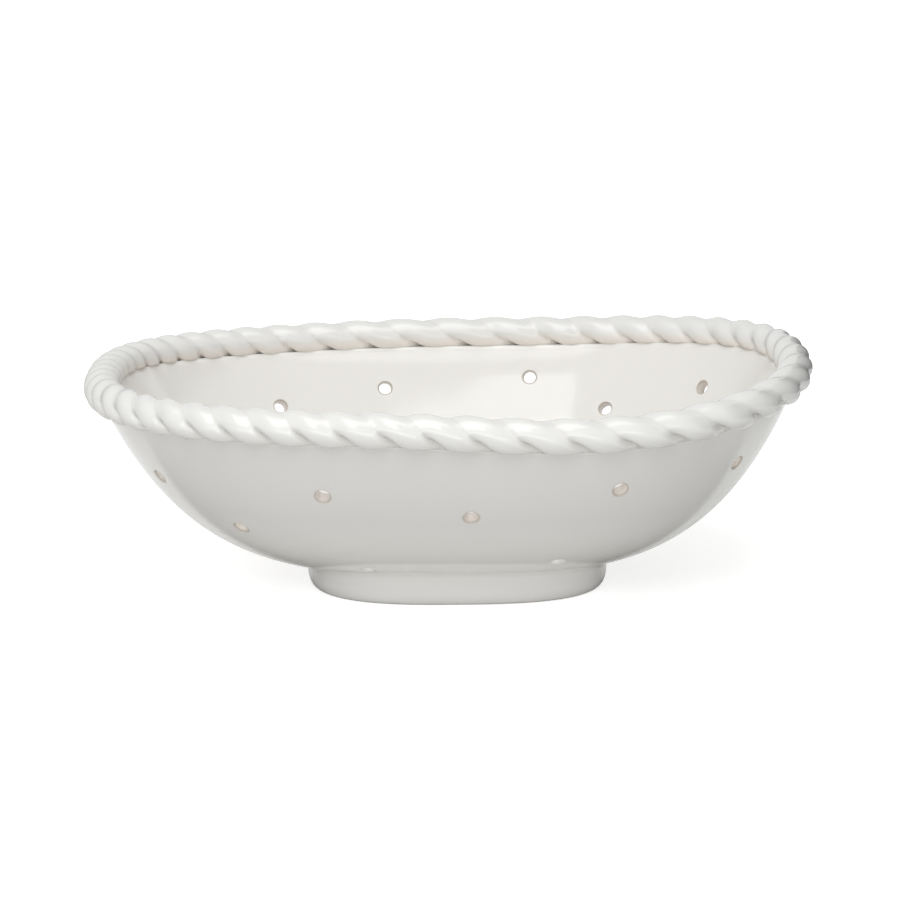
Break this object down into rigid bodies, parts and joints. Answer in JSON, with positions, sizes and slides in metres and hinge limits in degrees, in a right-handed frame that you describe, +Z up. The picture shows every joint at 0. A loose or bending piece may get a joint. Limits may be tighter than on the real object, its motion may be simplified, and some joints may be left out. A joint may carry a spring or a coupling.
{
  "type": "colander bowl",
  "caption": "Oval glazed clay bowl pierced with drain holes for rinsing berries, on a low foot ring, with a twisted rope rim.",
  "frame": {"origin": "on the table under the middle of the oval rim, level with the sole of the foot ring", "axes": "+X along the bowl to its right end in the picture, +Y from the front side to the back side, +Z up out of the bowl's mouth"},
  "size_m": [0.3248, 0.2326, 0.1088],
  "materials": {
    "wall_glaze": "glossy white glaze over a pale clay body",
    "foot_glaze": "glossy white glaze, wiped off the sole",
    "rope_glaze": "glossy white glaze, thin on the crests and pooled in the grooves"
  },
  "bodies": {
    "root": {"bowl_shell": "wall_glaze", "foot_ring": "foot_glaze", "rope_strand_a": "rope_glaze", "rope_strand_b": "rope_glaze"}
  },
  "joints": []
}
